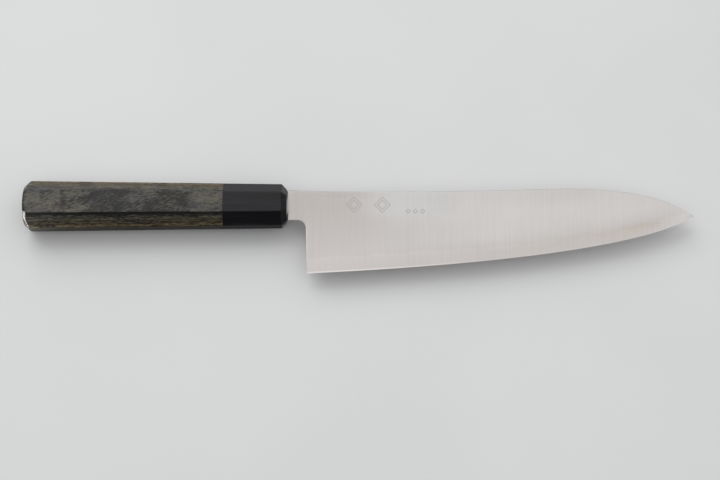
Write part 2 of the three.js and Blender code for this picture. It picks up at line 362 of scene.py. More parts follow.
def open_field(loop, clad):
    """Staggered points over the rest of the blade."""
    across = np.arange(HEEL[1], FIELD_TOP, FIELD_STEP)
    xs, ys = np.meshgrid(np.arange(-TANG_LENGTH, TIP[0], FIELD_STEP), across)
    xs = xs + FIELD_STEP / 2 * (np.arange(len(xs)) % 2)[:, None]
    field = np.column_stack([xs.ravel(), ys.ravel()])
    clear = distance_to(field, np.vstack([loop, loop[:1]])) > FIELD_GAP["outline"]
    return field[clear & (distance_to(field, clad) > FIELD_GAP["clad_line"])]


def blade_plan():
    """Triangles over the blade's outline, with close rows where it is eased and along the bevel."""
    loop, upper, lower = blade_outline()
    clad_x = np.arange(HEEL[0] - CLAD_LINE_PAST_HEEL, TIP[0] + CLAD_LINE_PAST_TIP, CLAD_LINE_STEP)
    clad = np.column_stack([clad_x, clad_y(clad_x)])
    seeds = [*eased_rows((upper, lower), clad), open_field(loop, clad)]
    bevel = inset_line(edge_line, BEVEL_WIDTH)
    bevel = bevel[distance_to(bevel, spine_line) > BEVEL_WIDTH]
    bevel[0] = lower[-1] + (lower[-2] - lower[-1]) * BEVEL_WIDTH
    chains = [clad, bevel]
    points = np.vstack([loop, *chains, *seeds])
    links = []
    start = len(loop)
    for chain in chains:
        links += [(start + i, start + i + 1) for i in range(len(chain) - 1)]
        start += len(chain)
    found = geometry.delaunay_2d_cdt(
        [Vector(p) for p in points], links, [list(range(len(loop)))], 1, 1e-4
    )
    return np.array(found[0]), np.array(found[2])


def blade_surfaces():
    """The plan's points with their surface height, core height and distances, all in millimetres."""
    flat, triangles = blade_plan()
    _, upper, lower = blade_outline()
    x, y = flat.T
    from_edge = distance_to(flat, edge_line)
    from_spine_rim = distance_to(flat, upper) / SPINE_EASING
    from_choil_rim = distance_to(flat, lower) / CHOIL_EASING
    inward = np.maximum(1 - np.minimum(from_spine_rim, from_choil_rim), 0)
    half = half_thickness(x, y, from_edge)
    core = core_half_thickness(x)
    facts = {
        "from_edge": from_edge,
        "from_spine": spine_y(x) - y,
        "above_line": y - clad_y(x),
    }
    on_line = (np.abs(y - clad_y(x)) < 0.03) & (x > CLAD_LINE_START)
    half = np.where(on_line, core, half)
    drop = np.minimum(EASING_DEPTH, EASED_SHARE * np.minimum(half, np.abs(half - core)))
    surface = half - drop * (1 - np.sqrt(1 - inward**2))
    middle = flat[triangles].mean(axis=1)
    clad = (middle[:, 0] < CLAD_LINE_START) | (middle[:, 1] > clad_y(middle[:, 0]))
    return flat, triangles, surface, core, clad, facts


def border(triangles):
    """The edges that only one triangle uses, in that triangle's direction."""
    edges = np.vstack([triangles[:, [0, 1]], triangles[:, [1, 2]], triangles[:, [2, 0]]])
    known = {(a, b) for a, b in edges}
    return [(a, b) for a, b in known if (b, a) not in known]


def layered_mesh(name, flat, triangles, low, high, facts):
    """A closed mesh between two heights over the same triangles. Where the heights meet, it closes."""
    count = len(flat)
    points = [(*p, z) for p, z in zip(flat, high)] + [(*p, z) for p, z in zip(flat, low)]
    faces = [tuple(t) for t in triangles]
    faces += [tuple(count + i for i in reversed(t)) for t in triangles]
    faces += [(b, a, count + a, count + b) for a, b in sorted(border(triangles))]
    mesh = bpy.data.meshes.new(name)
    mesh.from_pydata(points, [], faces)
    for fact, values in facts.items():
        kept = mesh.attributes.new(fact, "FLOAT", "POINT")
        kept.data.foreach_set("value", np.tile(values, 2).astype(np.float32))
    bm = bmesh.new()
    bm.from_mesh(mesh)
    bmesh.ops.remove_doubles(bm, verts=bm.verts, dist=MERGE_DISTANCE)
    bmesh.ops.delete(bm, geom=[v for v in bm.verts if not v.link_faces], context="VERTS")
    shade(bm, BLADE_SHARP_DEGREES)
    layer = bm.verts.layers.float["from_edge"]
    for edge in bm.edges:
        if all(abs(v[layer] - BEVEL_WIDTH) < 0.01 for v in edge.verts):
            edge.smooth = False
    bm.to_mesh(mesh)
    bm.free()
    return mesh


def make_blade(materials):
    flat, triangles, surface, core, clad, facts = blade_surfaces()
    soft = triangles[clad]
    for name, low, high in (("cladding_front", core, surface), ("cladding_back", -surface, -core)):
        mesh = layered_mesh(name, flat, soft, low, high, facts)
        finish_piece(name, mesh, f"blade_{name}", "cladding_steel", materials["cladding"])
    inside = np.zeros(len(flat), bool)
    inside[np.unique(soft)] = True
    hard = np.where(inside, core, surface)
    mesh = layered_mesh("core", flat, triangles, -hard, hard, facts)
    finish_piece("core", mesh, "blade_core", "core_steel", materials["core"])


# ---------------------------------------------------------------------------------------------------
# Handle
# ---------------------------------------------------------------------------------------------------
def handle_section(x):
    share = -x / HANDLE_LENGTH
    return {key: lerp((FRONT_SECTION[key], BUTT_SECTION[key]), share) for key in BUTT_SECTION}


def inset_section(section, inset):
    loss = 2 * inset * math.tan(math.pi / 8)
    return {
        "height": section["height"] - 2 * inset,
        "thickness": section["thickness"] - 2 * inset,
        "facet": section["facet"] - loss,
        "flat": section["flat"] - loss,
    }


def octagon_corners(section):
    upper = [
        (section["height"] / 2, section["flat"] / 2),
        (section["facet"] / 2, section["thickness"] / 2),
        (-section["facet"] / 2, section["thickness"] / 2),
        (-section["height"] / 2, section["flat"] / 2),
    ]
    return np.array(upper + [(-y, -z) for y, z in upper])


def ring_directions(section):
    """Unit directions round the handle's axis, close together near the arrises."""
    corners = octagon_corners(section)
    rows = []
    for start, end in zip(corners, np.roll(corners, -1, axis=0)):
        length = math.dist(start, end)
        near = np.array(ARRIS_OFFSETS)
        wide = np.linspace(near[-1], length - near[-1], FACET_POINTS - 2 * len(near) + 3)[1:-1]
        offsets = np.concatenate([near, wide, length - near[:0:-1]])
        rows.append(start + np.outer(offsets / length, end - start))
    points = np.vstack(rows)
    return points / np.hypot(*points.T)[:, None]


def octagon_radius(section, directions, rounding):
    """Distance from the axis to an octagon's faces, with its arrises rounded."""
    corners = octagon_corners(section)
    radius = np.full(len(directions), FAR)
    for start, end in zip(corners, np.roll(corners, -1, axis=0)):
        normal = np.array([end[1] - start[1], start[0] - end[0]])
        normal /= np.hypot(*normal)
        towards = directions @ normal
        reach = (start @ normal) / np.maximum(towards, LEAST_FACING)
        reach = np.where(towards > LEAST_FACING, reach, FAR)
        radius = smooth_least(radius, reach, rounding)
    return radius


def ring_at(x, directions, radius):
    return [(x, *p) for p in directions * np.broadcast_to(radius, len(directions))[:, None]]


def butt_profile():
    """Depth from the butt and radius along the turned end: a slight dome, then a cone."""
    dome_radius, dome_rise = BUTT_DOME
    bend_start, bend_run = BUTT_BEND
    run, slope = BUTT_CHAMFER
    dome = [(dome_rise * (r / dome_radius) ** 2, r) for r in BUTT_DOME_RINGS]
    bend = []
    for share in np.linspace(0, 1, BUTT_BEND_RINGS):
        radius = bend_start + bend_run * share
        depth = dome_rise + slope * bend_run * share**2 / 2
        bend.append((depth, radius))
    start_depth, start_radius = bend[-1]
    shares = np.linspace(0, 1, BUTT_CHAMFER_RINGS)[1:]
    cone = [(start_depth + slope * run * share, start_radius + run * share) for share in shares]
    return dome + bend + cone


def body_rings():
    """Rings from the middle of the butt, along the outside to the joint, and back down the bore."""
    rings = [[(-HANDLE_LENGTH, 0, 0)]]
    for depth, radius in butt_profile():
        x = depth - HANDLE_LENGTH
        section = handle_section(x)
        directions = ring_directions(section)
        octagon = octagon_radius(section, directions, ARRIS_ROUNDING)
        rings.append(ring_at(x, directions, smooth_least(octagon, radius, BUTT_ROUNDING)))
    rear = butt_profile()[-1][0] + BUTT_CLEARANCE - HANDLE_LENGTH
    for x in np.linspace(rear, -FERRULE_LENGTH, BODY_RINGS):
        section = handle_section(x)
        directions = ring_directions(section)
        rings.append(ring_at(x, directions, octagon_radius(section, directions, ARRIS_ROUNDING)))
    bore_end = -FERRULE_LENGTH - BODY_BORE_DEPTH
    for x in np.linspace(-FERRULE_LENGTH, bore_end, BODY_BORE_RINGS):
        rings.append(ring_at(x, directions, BORE_RADIUS))
    rings.append([(bore_end, 0, 0)])
    return rings


def cut_flat(bm, height, keep_below):
    """Cuts a closed mesh along a level plane, keeps one side and closes the cut."""
    found = bmesh.ops.bisect_plane(
        bm,
        geom=[*bm.verts, *bm.edges, *bm.faces],
        dist=1e-5,
        plane_co=(0, 0, height),
        plane_no=(0, 0, 1),
        clear_outer=keep_below,
        clear_inner=not keep_below,
    )
    rim = [item for item in found["geom_cut"] if isinstance(item, bmesh.types.BMEdge)]
    bmesh.ops.triangle_fill(bm, edges=rim, use_beauty=True, normal=(0, 0, 1))


def veneer_wave(x, y):
    """How far the veneers rise and fall along the handle."""
    return sum(size * math.sin(x / a + y / b + shift) for size, a, b, shift in VENEER_WAVES)


def make_veneers(materials):
    """The handle's body, parted into its gently wavy veneers."""
    body = skin(body_rings(), joined=False)
    for vertex in body.verts:
        vertex.co.z += veneer_wave(vertex.co.x, vertex.co.y)
    half = VENEER_COUNT / 2
    for i in range(VENEER_COUNT):
        bm = body.copy()
        if i < VENEER_COUNT - 1:
            cut_flat(bm, (i + 1 - half) * VENEER_THICKNESS, keep_below=True)
        if i > 0:
            cut_flat(bm, (i - half) * VENEER_THICKNESS, keep_below=False)
        bmesh.ops.recalc_face_normals(bm, faces=bm.faces)
        levels = [vertex.co.z for vertex in bm.verts]
        for vertex in bm.verts:
            vertex.co.z -= veneer_wave(vertex.co.x, vertex.co.y)
        shade(bm, HANDLE_SHARP_DEGREES)
        name = f"veneer_{i + 1:02d}"
        mesh = bpy.data.meshes.new(name)
        bm.to_mesh(mesh)
        bm.free()
        mesh.attributes.new("level", "FLOAT", "POINT").data.foreach_set("value", levels)
        slot = "veneer_pale" if i % 2 else "veneer_dark"
        dye = DYE_ORDER[abs(i - VENEER_COUNT // 2)]
        finish_piece(name, mesh, f"handle_{name}", slot, materials[dye])
    body.free()


def ferrule_rings():
    """Rings along the outside to the front, in through the slot, and back along the bore."""
    rings = []
    shoulder = -FERRULE_CHAMFER
    straight = np.linspace(-FERRULE_LENGTH, shoulder - 0.5, FERRULE_RINGS)
    bend = np.linspace(shoulder - 0.3, shoulder + 0.3, CHAMFER_BEND_RINGS)
    chamfer = np.linspace(shoulder + 0.6, -0.2, CHAMFER_RINGS)
    for x in [*straight, *bend, *chamfer]:
        section = handle_section(x)
        directions = ring_directions(section)
        octagon = octagon_radius(section, directions, ARRIS_ROUNDING)
        inner = inset_section(section, x - shoulder)
        cone = octagon_radius(inner, directions, ARRIS_ROUNDING)
        rings.append(ring_at(x, directions, smooth_least(octagon, cone, CHAMFER_ROUNDING)))
    for x, inset in FERRULE_NOSE:
        inner = inset_section(handle_section(x), inset)
        rings.append(ring_at(x, directions, octagon_radius(inner, directions, ARRIS_ROUNDING)))
    with np.errstate(divide="ignore"):
        slot = np.min(np.array(SLOT_HALF_SIZE) / np.abs(directions), axis=1)
    for x in (0.0, -FERRULE_WALL):
        rings.append(ring_at(x, directions, slot))
    for x in np.linspace(-FERRULE_WALL, -FERRULE_LENGTH, FERRULE_BORE_RINGS):
        rings.append(ring_at(x, directions, BORE_RADIUS))
    return rings


def make_ferrule(material):
    bm = skin(ferrule_rings(), joined=True)
    shade(bm, HANDLE_SHARP_DEGREES)
    mesh = bpy.data.meshes.new("ferrule_shell")
    bm.to_mesh(mesh)
    bm.free()
    finish_piece("ferrule_shell", mesh, "ferrule", "black_ferrule", material)


# ---------------------------------------------------------------------------------------------------
# Materials
# ---------------------------------------------------------------------------------------------------
NOISE_RANGE = (0.3, 0.7)
NOISE_ROUGHNESS = 0.55
SEED_SHIFT = (17.3, 7.1, 3.7)


class Look:
    """One procedural material being put together. Its places are in millimetres, as the shapes are."""

    def __init__(self, name):
        self.material = bpy.data.materials.new(name)
        self.material.use_nodes = True
        self.tree = self.material.node_tree
        self.shader = self.tree.nodes["Principled BSDF"]
        place = self.add("ShaderNodeTexCoord", {}).outputs["Object"]
        moved = self.add("ShaderNodeVectorMath", {0: place, 1: tuple(origin)}, operation="SUBTRACT")
        scaled = self.add("ShaderNodeVectorMath", {0: moved.outputs[0], "Scale": 1 / MM}, operation="SCALE")
        self.place = scaled.outputs[0]
        axes = self.add("ShaderNodeSeparateXYZ", {0: self.place}).outputs
        self.x, self.y, self.z = axes[0], axes[1], axes[2]

    def add(self, kind, inputs, **settings):
        made = self.tree.nodes.new(kind)
        for name, value in settings.items():
            setattr(made, name, value)
        for socket, value in inputs.items():
            if isinstance(value, bpy.types.NodeSocket):
                self.tree.links.new(value, made.inputs[socket])
            else:
                made.inputs[socket].default_value = value
        return made

    def maths(self, operation, a, b=0.0):
        return self.add("ShaderNodeMath", {0: a, 1: b}, operation=operation).outputs[0]

    def plus(self, a, b):
        return self.maths("ADD", a, b)

    def minus(self, a, b):
        return self.maths("SUBTRACT", a, b)

    def times(self, a, b):
        return self.maths("MULTIPLY", a, b)

    def without_sign(self, value):
        return self.maths("ABSOLUTE", value)

    def ramp(self, value, low, high, start=0.0, end=1.0):
        """A smooth step: start up to low, end past high."""
        sockets = {0: value, 1: low, 2: high, 3: start, 4: end}
        return self.add("ShaderNodeMapRange", sockets, interpolation_type="SMOOTHSTEP").outputs[0]

    def ramp_straight(self, value, low, high, start, end):
        """A straight step: start up to low, end past high."""
        return self.add("ShaderNodeMapRange", {0: value, 1: low, 2: high, 3: start, 4: end}).outputs[0]

    def spread(self, noise, start=0.0, end=1.0):
        """A noise's usual range laid out between two values."""
        return self.ramp(noise, *NOISE_RANGE, start, end)

    def bump_at(self, value, centre, reach):
        """One at the centre, falling smoothly to zero on both sides."""
        away = self.without_sign(self.minus(value, centre))
        return self.ramp(away, 0.0, reach, 1.0, 0.0)

    def noise(self, size, seed, detail=3.0, place=None):
        """Random values round 0.5, whose features have these sizes along x, y and z."""
        vector = self.place if place is None else place
        scale = tuple(1 / s for s in size)
        shift = tuple(seed * step for step in SEED_SHIFT)
        mapped = self.add("ShaderNodeMapping", {0: vector, "Location": shift, "Scale": scale})
        sockets = {0: mapped.outputs[0], "Scale": 1.0, "Detail": detail, "Roughness": NOISE_ROUGHNESS}
        return self.add("ShaderNodeTexNoise", sockets).outputs["Fac"]

    def mix(self, share, a, b, blend="MIX"):
        colours = [c if isinstance(c, bpy.types.NodeSocket) else (*c, 1.0) for c in (a, b)]
        sockets = {0: share, 6: colours[0], 7: colours[1]}
        made = self.add("ShaderNodeMix", sockets, data_type="RGBA", blend_type=blend)
        return made.outputs[2]

    def brighten(self, colour, factor):
        """A colour times a number."""
        grey = self.add("ShaderNodeCombineXYZ", {0: factor, 1: factor, 2: factor}).outputs[0]
        return self.mix(1.0, colour, grey, "MULTIPLY")

    def brighten_where(self, share, colour, factor):
        """A colour, times a number where the share is one."""
        return self.brighten(colour, self.ramp(share, 0, 1, 1.0, factor))

    def attribute(self, name):
        return self.add("ShaderNodeAttribute", {}, attribute_name=name).outputs["Fac"]

    def facing(self, axis):
        """How far the surface turns along x, y or z."""
        normal = self.add("ShaderNodeNewGeometry", {}).outputs["Normal"]
        return self.add("ShaderNodeSeparateXYZ", {0: normal}).outputs["XYZ".index(axis)]

    def finish(self, colour, roughness, height, depth, **constants):
        """Joins everything to the shader. The height map is in millimetres once times the depth."""
        bump = self.add("ShaderNodeBump", {"Height": height, "Strength": 1.0, "Distance": depth * MM})
        self.tree.links.new(colour, self.shader.inputs["Base Color"])
        self.tree.links.new(roughness, self.shader.inputs["Roughness"])
        self.tree.links.new(bump.outputs[0], self.shader.inputs["Normal"])
        for name, value in constants.items():
            self.shader.inputs[name.replace("_", " ")].default_value = value
        return self.material


# Steel: colours, the sizes of its marks, and where along the blade or from its edges the colours change
# Painted shade: the neck and heel colours are darker steel, standing in for the dimmer reflection near the
# handle
STEEL_NECK_SHADED = (0.523, 0.492, 0.473)
STEEL_HEEL_SHADED = (0.622, 0.589, 0.570)
STEEL_MIDDLE = (0.679, 0.652, 0.635)
STEEL_LOWER = (0.606, 0.573, 0.554)
STEEL_HAZE = (0.622, 0.615, 0.608)
STEEL_TAN = (0.582, 0.539, 0.489)
STEEL_ETCHED = (0.36, 0.345, 0.335)
STEEL_ROUGHNESS = (0.285, 0.33)
STEEL_BUMP = 0.004
SCRATCH_SIZE = (0.16, 30, 8)
SCRATCH_HEIGHT = 0.4
BROAD_MARK_SIZE = (1.1, 60, 8)
STEEL_CLOUD_SIZE = (38, 16, 30)
HEEL_FROM_SPINE = (6, 44)
FRONT_STARTS = (12, 92)
LOWER_FROM_EDGE = (16, 3)
LOWER_ENDS = (219, 188)
# Painted shade along the spine: how far from the spine it reaches, where it ends towards the tip, and how
# dark it is
SPINE_SHADE_FROM_SPINE = (15, 0)
SPINE_SHADE_ENDS = (190, 150)
SPINE_SHADE_FACTOR = 0.945
SHADE_ALONG = (72, 52)
SHADE_ACROSS = (-15, 17)
SHADE_FACTOR = 0.955
TAN_FROM_EDGE = (4.5, 5.0)
TAN_STARTS = (105, 175)
TAN_ENDS = (216, 198)
TAN_BREAK_SIZE = (22, 5, 9)
HAZE_EDGE_SIZE = (20, 6, 20)
HAZE_STARTS = (36, 62)
HAZE_ENDS = (102, 82)
HAZE_BOTTOM = (-7.0, -3.0)
HAZE_SHARE = 0.85
GLOW_EDGE_SIZE = (3, 1, 9)
GLOW_ABOVE_LINE = (0.5, 1.9)
GLOW_FACTOR = 1.045
POLISH_LINE_SIZE = (40, 0.4, 9)
POLISH_FROM_SPINE = (5.5, 2.5)
POLISH_ALONG = (30, 26)
POLISH_FACTOR = 0.93
CORE_BRIGHTNESS = 1.03
# Painted highlight on the edge bevel: where it fades along the blade, and how bright it is
HONED_HIGHLIGHT_ALONG = (45, 120)
HONED_HIGHLIGHT = (1.3, 1.08)

# Ornament
ORNAMENT_DIAMONDS = ((36.6, 0.6), (52.0, 0.6))
ORNAMENT_DIAMOND_SIZES = (4.3, 2.5)
ORNAMENT_DOTS = ((66.0, -3.0), (70.0, -3.0), (74.0, -3.0))
ORNAMENT_DOT_SIZE = 1.2
ORNAMENT_LINE = 0.55
ORNAMENT_SHARE = 0.75
ORNAMENT_DEPTH = 2.0


def ground_finish(look, colour):
    """Grinding marks across the blade, narrow and broad, and clouds, on a steel's colour."""
    scratches = look.noise(SCRATCH_SIZE, 1, 3.0)
    broad = look.noise(BROAD_MARK_SIZE, 2, 2.0)
    clouds = look.noise(STEEL_CLOUD_SIZE, 3)
    marks = look.plus(look.spread(scratches, -0.035, 0.035), look.spread(broad, -0.011, 0.011))
    level = look.plus(look.spread(clouds, 0.985, 1.015), marks)
    roughness = look.spread(scratches, *STEEL_ROUGHNESS)
    height = look.times(scratches, SCRATCH_HEIGHT)
    return look.brighten(colour, level), roughness, height


def steel_colour(look):
    """The polished blade: painted shade darkens it towards the neck and the heel, with a painted shade
    patch low on its rear half and painted shade along the spine in front; palest in the middle, and tan
    near the tip's edge.
    """
    from_spine = look.attribute("from_spine")
    # Painted shade: darker towards the neck and the heel, palest in the front middle
    rear = look.mix(look.ramp(from_spine, *HEEL_FROM_SPINE), STEEL_NECK_SHADED, STEEL_HEEL_SHADED)
    low = look.ramp(look.attribute("from_edge"), *LOWER_FROM_EDGE)
    front = look.mix(look.times(low, look.ramp(look.x, *LOWER_ENDS)), STEEL_MIDDLE, STEEL_LOWER)
    # Painted shade: a darker strip along the spine over the front half
    spine_shade = look.times(look.ramp(from_spine, *SPINE_SHADE_FROM_SPINE), look.ramp(look.x, *SPINE_SHADE_ENDS))
    front = look.brighten_where(spine_shade, front, SPINE_SHADE_FACTOR)
    colour = look.mix(look.ramp(look.x, *FRONT_STARTS), rear, front)
    # Painted shade: a dim patch low on the blade's rear half
    shade = look.times(look.bump_at(look.x, *SHADE_ALONG), look.bump_at(look.y, *SHADE_ACROSS))
    colour = look.brighten_where(shade, colour, SHADE_FACTOR)
    return look.mix(tan_band(look), colour, STEEL_TAN)


def tan_band(look):
    """One on the broken tan band above the edge, towards the tip."""
    breaks = look.ramp(look.noise(TAN_BREAK_SIZE, 7), 0.35, 0.65, 0.35, 1.0)
    low = look.bump_at(look.attribute("from_edge"), *TAN_FROM_EDGE)
    band = look.times(low, look.ramp(look.x, *TAN_STARTS))
    band = look.times(band, look.ramp(look.x, *TAN_ENDS))
    return look.times(band, breaks)


def haze_patch(look):
    """One on the paler haze round and ahead of the ornament."""
    lower_edge = look.plus(look.y, look.spread(look.noise(HAZE_EDGE_SIZE, 5), -3, 3))
    along = look.times(look.ramp(look.x, *HAZE_STARTS), look.ramp(look.x, *HAZE_ENDS))
    return look.times(along, look.ramp(lower_edge, *HAZE_BOTTOM))


def glow_above_line(look):
    """One on the faint bright band along the line where the cladding stops."""
    ragged = look.plus(look.attribute("above_line"), look.spread(look.noise(GLOW_EDGE_SIZE, 6)))
    return look.bump_at(ragged, *GLOW_ABOVE_LINE)


def polishing_lines(look):
    """One on thin lines along the blade, close under the spine near the neck."""
    lines = look.ramp(look.noise(POLISH_LINE_SIZE, 8, 1.0), 0.5, 0.6)
    lines = look.times(lines, look.ramp(look.attribute("from_spine"), *POLISH_FROM_SPINE))
    return look.times(lines, look.bump_at(look.x, *POLISH_ALONG))


def ornament(look):
    """One on the lines etched in the front of the blade: two double diamonds, then three small ones."""
    found = None
    shapes = [(c, s) for c in ORNAMENT_DIAMONDS for s in ORNAMENT_DIAMOND_SIZES]
    shapes += [(c, ORNAMENT_DOT_SIZE) for c in ORNAMENT_DOTS]
    for centre, size in shapes:
        across = look.without_sign(look.minus(look.x, centre[0]))
        up = look.without_sign(look.minus(look.y, centre[1]))
        line = look.bump_at(look.plus(across, up), size, ORNAMENT_LINE)
        found = line if found is None else look.maths("MAXIMUM", found, line)
    front = look.ramp(look.z, 0.2, 0.5)
    return look.times(found, front)


def cladding_material():
    """Soft steel: the polished blade's colour, with a haze, the ornament and a glow along its edge."""
    look = Look("soft_cladding_steel")
    colour = look.mix(look.times(haze_patch(look), HAZE_SHARE), steel_colour(look), STEEL_HAZE)
    colour = look.brighten_where(glow_above_line(look), colour, GLOW_FACTOR)
    colour, roughness, height = ground_finish(look, colour)
    colour = look.brighten_where(polishing_lines(look), colour, POLISH_FACTOR)
    etched = ornament(look)
    colour = look.mix(look.times(etched, ORNAMENT_SHARE), colour, STEEL_ETCHED)
    height = look.minus(height, look.times(etched, ORNAMENT_DEPTH))
    return look.finish(colour, roughness, height, STEEL_BUMP, Metallic=1.0)


def core_material():
    """Hard steel: a little brighter than the cladding, with a painted highlight on the edge bevel that is
    strongest near the heel.
    """
    look = Look("hard_core_steel")
    colour, roughness, height = ground_finish(look, steel_colour(look))
    bevel = look.ramp(look.attribute("from_edge"), BEVEL_WIDTH, BEVEL_WIDTH - 0.05)
    # Painted highlight: the edge bevel is made brighter, most near the heel
    bevel_highlight = look.minus(look.ramp(look.x, *HONED_HIGHLIGHT_ALONG, *HONED_HIGHLIGHT), 1.0)
    colour = look.brighten(colour, look.plus(CORE_BRIGHTNESS, look.times(bevel, bevel_highlight)))
    return look.finish(colour, roughness, height, STEEL_BUMP, Metallic=1.0)


FERRULE_BLACK = (0.0045, 0.0042, 0.0062)
FERRULE_STREAK = (0.013, 0.0118, 0.0165)
FERRULE_ROUGHNESS = (0.295, 0.33)
FERRULE_STREAK_SIZE = (40, 2.5, 2.5)
FERRULE_RIPPLE_SIZE = (1.6, 0.5, 0.5)
FERRULE_DULLING = 0.35


def ferrule_material():
    """Polished black resin-filled wood with barely lighter streaks."""
    look = Look("polished_black_ferrule")
    streaks = look.noise(FERRULE_STREAK_SIZE, 11, 4.0)
    ripple = look.noise(FERRULE_RIPPLE_SIZE, 12, 2.0)
    colour = look.mix(look.ramp(streaks, 0.45, 0.7), FERRULE_BLACK, FERRULE_STREAK)
    roughness = look.plus(look.spread(streaks, *FERRULE_ROUGHNESS), look.spread(ripple, -0.01, 0.01))
    roughness = look.plus(roughness, dulled_side(look, FERRULE_DULLING))
    return look.finish(colour, roughness, ripple, 0.004, Specular_IOR_Level=0.28)


# Dyed wood: a dark and a pale colour for each dye, and the dyes from the middle veneer outwards
WOOD_DYES = {
    "black": ((0.003, 0.003, 0.002), (0.016, 0.015, 0.012)),
    "slate": ((0.004, 0.004, 0.003), (0.085, 0.083, 0.068)),
    "bronze": ((0.010, 0.008, 0.005), (0.135, 0.115, 0.075)),
    "gold": ((0.016, 0.010, 0.004), (0.170, 0.130, 0.070)),
    "brown": ((0.008, 0.006, 0.003), (0.105, 0.083, 0.048)),
    "umber": ((0.010, 0.009, 0.006), (0.062, 0.055, 0.040)),
}
DYE_ORDER = ("umber", "umber", "umber", "gold", "brown", "bronze", "slate", "black")
GLUE = (0.008, 0.007, 0.006)
RIPPLE_SIZE = (8, 4, 3)
FIBRE_SIZE = (3.2, 0.5, 0.22)
STRAND_SIZE = (9, 1.4, 0.6)
GAP_SIZE = (2.6, 0.4, 0.2)
PORE_SIZE = (2.6, 0.24, 0.2)
# Painted shade under the lower arris: the next line gives its depths below the arris
ARRIS_SHADE_DEPTHS = (2.1, 1.5)
PORE_FACTOR = 0.45
GAP_FACTOR = 0.25
# Painted light on the bevels turned towards +y (the spine's side)
UPPER_BEVEL_PAINTED_LIGHT = 1.35
# How dark the painted shade under the lower arris is
ARRIS_SHADE_FACTOR = 0.22
BUTT_FACTOR = 0.4
WOOD_ROUGHNESS = (0.36, 0.46)
WOOD_BUMP = 0.02
SIDE_DULLING = 0.4
END_DULLING = 0.4
TURNED_ROUGHNESS = 0.32
TURNED_HEIGHT = 0.15

# The face grain: light and dark bands by their place along the handle, with flecks and wisps
FACE_DARK = (0.008, 0.007, 0.006)
FACE_WARM = (0.114, 0.105, 0.081)
FACE_COOL = (0.080, 0.076, 0.073)
FACE_TOP = 11.0
FACE_BANDS = (
    (-143, 0.75),
    (-112, 0.65),
    (-103, 0.1),
    (-92, 0.1),
    (-83, 0.6),
    (-75, 0.35),
    (-70, 0.0),
    (-60, 0.0),
    (-51, 0.6),
    (-40, 0.8),
)
BAND_WARP_SIZE = (14, 6, 14)
FLECK_SLANT = math.radians(-17)
FLECK_SIZE = (2.4, 0.6, 2.0)
FLECK_LIGHT = 0.38
WISP_SIZE = (9, 3.0, 4.0)
WISP_LIGHT = 0.24
STREAK_LIGHT = 0.15
FACE_TONE_SIZE = (20, 10, 9)


def dyed_wood(dye):
    """Resin-filled birch veneer: smoky figure on the face, broken dark and light fibres where it is cut."""
    look = Look(f"dyed_wood_{dye}")
    level = look.attribute("level")
    rippled = look.plus(level, look.spread(look.noise(RIPPLE_SIZE, 20, 4.0), -0.35, 0.35))
    place = look.add("ShaderNodeCombineXYZ", {0: look.x, 1: look.y, 2: rippled}).outputs[0]
    fibres = look.noise(FIBRE_SIZE, 21, 3.0, place)
    pores = look.ramp(look.noise(PORE_SIZE, 23, 2.0, place), 0.60, 0.68)
    edge = cut_grain(look, dye, place, level, fibres)
    face = look.mix(face_light(look, place, level, fibres), FACE_DARK, face_tone(look))
    colour = look.mix(face_share(look, dye), edge, face)
    colour = look.brighten_where(pores, colour, PORE_FACTOR)
    colour = look.mix(glue_line(look, level, fibres), colour, GLUE)
    polish = turned_end(look)
    roughness = look.plus(look.spread(fibres, *WOOD_ROUGHNESS), look.times(pores, 0.15))
    roughness = look.times(roughness, look.ramp(polish, 0, 1, 1.0, TURNED_ROUGHNESS))
    roughness = look.plus(roughness, dulled_side(look, SIDE_DULLING))
    roughness = look.plus(roughness, look.ramp(look.facing("X"), -0.9, -0.97, 0.0, END_DULLING))
    height = look.times(look.minus(fibres, pores), look.ramp(polish, 0, 1, 1.0, TURNED_HEIGHT))
    return look.finish(colour, roughness, height, WOOD_BUMP, Specular_IOR_Level=0.36)


def cut_grain(look, dye, place, level, fibres):
    """A veneer's colour where the handle cuts across it: broken fibres, darker on the butt, with painted
    light on the upper bevels and painted shade under the lower arris.
    """
    strands = look.noise(STRAND_SIZE, 22, 3.0, place)
    gaps = look.ramp(look.noise(GAP_SIZE, 27, 2.0, place), 0.56, 0.61)
    grain = look.plus(look.times(fibres, 0.6), look.times(strands, 0.4))
    colour = look.mix(look.ramp(grain, 0.45, 0.54), *WOOD_DYES[dye])
    colour = look.brighten_where(gaps, colour, GAP_FACTOR)
    # Painted light: the bevels turned towards +y are made lighter
    colour = look.brighten(colour, look.ramp(look.facing("Y"), 0.3, 0.6, 1.0, UPPER_BEVEL_PAINTED_LIGHT))
    # Painted shade: a dark strip under the lower arris
    colour = look.brighten_where(painted_shade_under_arris(look, level, fibres), colour, ARRIS_SHADE_FACTOR)
    return look.brighten(colour, look.ramp(look.facing("X"), -0.88, -0.96, 1.0, BUTT_FACTOR))


def glue_line(look, level, fibres):
    """Nearly one on the ragged glue line between two veneers."""
    sheet = look.maths("FRACT", look.plus(look.maths("DIVIDE", level, VENEER_THICKNESS), 0.5))
    to_middle = look.without_sign(look.minus(sheet, 0.5))
    ragged = look.plus(to_middle, look.spread(fibres, -0.07, 0.07))
    return look.ramp(ragged, 0.44, 0.49, 0, 0.85)


